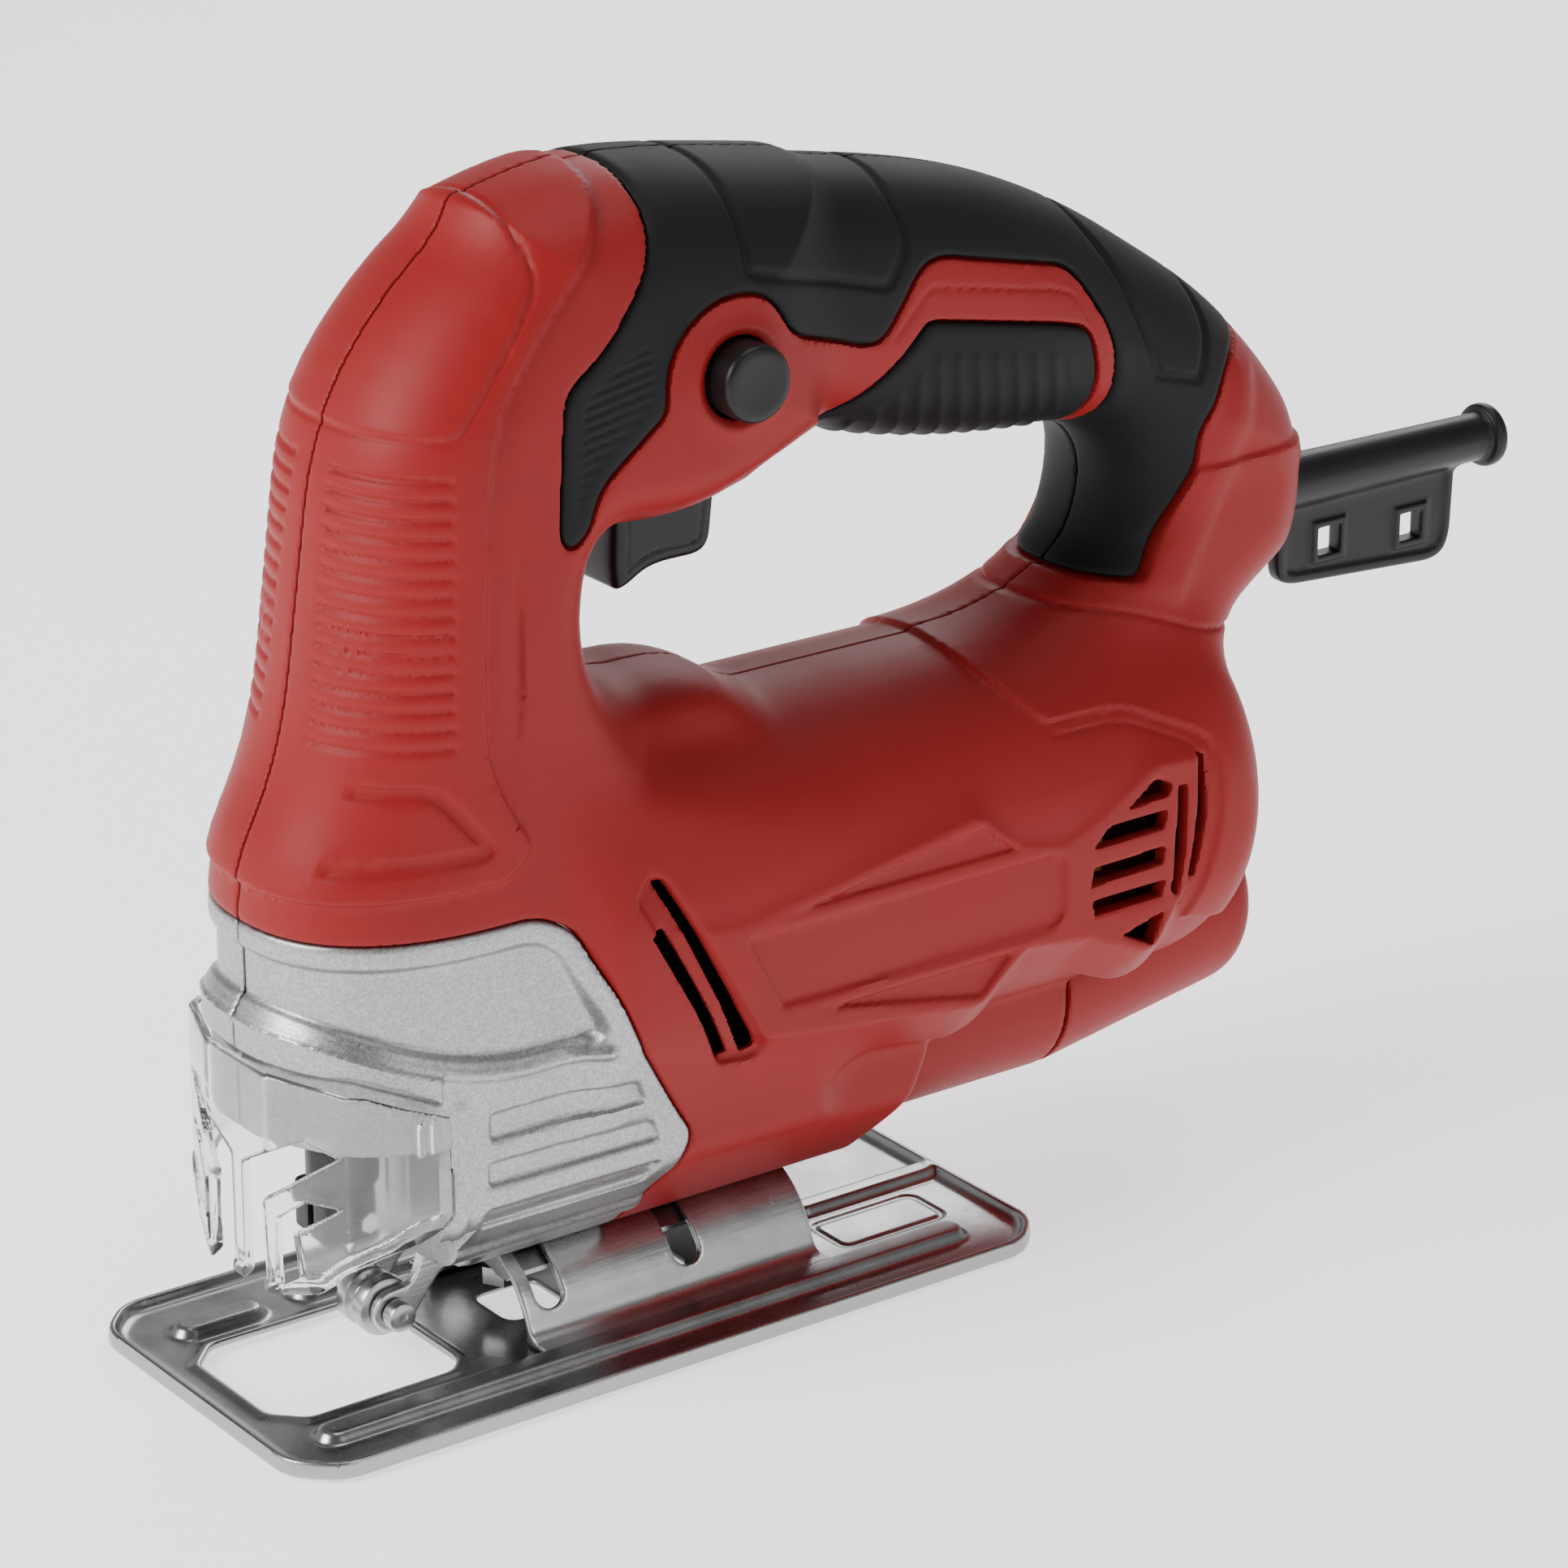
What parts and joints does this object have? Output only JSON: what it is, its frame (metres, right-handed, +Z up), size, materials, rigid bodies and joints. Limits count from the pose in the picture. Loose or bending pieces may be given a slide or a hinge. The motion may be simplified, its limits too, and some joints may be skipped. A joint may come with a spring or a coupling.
{
  "type": "jigsaw power tool",
  "caption": "Corded jigsaw with a closed D-handle, tilting pressed steel sole, clear chip guard, geared motor drive, trigger and lock button.",
  "frame": {"origin": "middle of the sole's underside, on the cutting plane; the sole rests on z = 0", "axes": "+Z up, -Y the cutting direction, +Y towards the cord sleeve, +X the operator's left side"},
  "size_m": [0.072, 0.2815, 0.1965],
  "materials": {
    "red": "fine moulded texture",
    "soft": "soft overmould",
    "black": "moulded",
    "silver": "metallic paint with fine sparkle",
    "clear": "clear polycarbonate",
    "zinc": "bright zinc plated pressed sheet",
    "steel": "turned",
    "dark": "black oxide",
    "copper": "enamelled wire",
    "lamination": "stacked sheet",
    "bronze": "sintered",
    "carbon": "pressed carbon"
  },
  "bodies": {
    "housing": {"housing_left": "red", "housing_right": "red", "gearcase_cover_left": "silver", "gearcase_cover_right": "silver", "overmould_left": "soft", "overmould_right": "soft", "lower_grip_left": "soft", "lower_grip_right": "soft", "housing_screw_1": "steel", "housing_screw_2": "steel", "housing_screw_3": "steel", "housing_screw_4": "steel", "housing_screw_5": "steel", "housing_screw_6": "steel", "dust_port": "red", "strain_relief": "black", "cable_clamp": "black", "switch_body": "black", "trigger_spring": "steel", "base_clamp_screw_1": "steel", "base_clamp_screw_2": "steel", "base_clamp_plate": "steel", "roller_pin": "steel", "roller_bracket": "zinc", "plunger_bushing_lower": "bronze", "plunger_bushing_upper": "bronze", "gear_axle": "steel", "gear_plate": "lamination", "bearing_front": "steel", "bearing_rear": "steel", "field_core": "lamination", "field_coil_upper": "copper", "field_coil_lower": "copper", "air_baffle": "black", "brush_holder_left": "bronze", "brush_left": "carbon", "brush_holder_right": "bronze", "brush_right": "carbon"},
    "base": {"base_plate": "zinc", "saddle_bracket": "zinc"},
    "trigger": {"trigger": "black"},
    "lock_button": {"lock_button": "black"},
    "armature": {"armature_shaft": "steel", "pinion": "steel", "armature_core": "lamination", "armature_winding_front": "copper", "armature_winding_rear": "copper", "commutator": "copper", "fan": "black"},
    "drive_gear": {"drive_gear": "steel", "crank_pin": "steel"},
    "plunger": {"plunger": "steel", "yoke": "steel", "blade_clamp": "dark", "blade_clamp_screw_1": "dark", "blade_clamp_screw_2": "dark"},
    "roller": {"roller": "steel"},
    "chip_guard": {"chip_guard": "clear"}
  },
  "joints": [
    {"name": "base_tilt", "type": "hinge", "parent": "housing", "child": "base", "pos_m": [0, 0.0085, 0], "axis": [0, 1, 0], "range_deg": [-45, 45]},
    {"name": "trigger_pull", "type": "slide", "parent": "housing", "child": "trigger", "axis": [0, 0, 1], "range_m": [0, 0.006], "stiffness_N_per_m": 600, "springref_m": -0.004, "deforming": ["trigger_spring"]},
    {"name": "lock_press", "type": "slide", "parent": "housing", "child": "lock_button", "axis": [-1, 0, 0], "range_m": [0, 0.004], "stiffness_N_per_m": 500, "springref_m": -0.003},
    {"name": "armature_spin", "type": "hinge", "parent": "housing", "child": "armature", "pos_m": [0, 0.04, 0.07], "axis": [0, 1, 0], "continuous": true},
    {"name": "gear_spin", "type": "hinge", "parent": "housing", "child": "drive_gear", "pos_m": [0, -0.027, 0.08953], "axis": [0, 1, 0], "continuous": true},
    {"name": "plunger_stroke", "type": "slide", "parent": "housing", "child": "plunger", "axis": [0, 0, 1], "range_m": [-0.009, 0.009]},
    {"name": "roller_spin", "type": "hinge", "parent": "housing", "child": "roller", "pos_m": [0, -0.041, 0.01], "axis": [1, 0, 0], "continuous": true},
    {"name": "guard_slide", "type": "slide", "parent": "housing", "child": "chip_guard", "axis": [0, -1, 0], "range_m": [0, 0.03]}
  ],
  "couplings": [
    {"joint": "gear_spin", "follows": "armature_spin", "ratio": -0.16667}
  ]
}
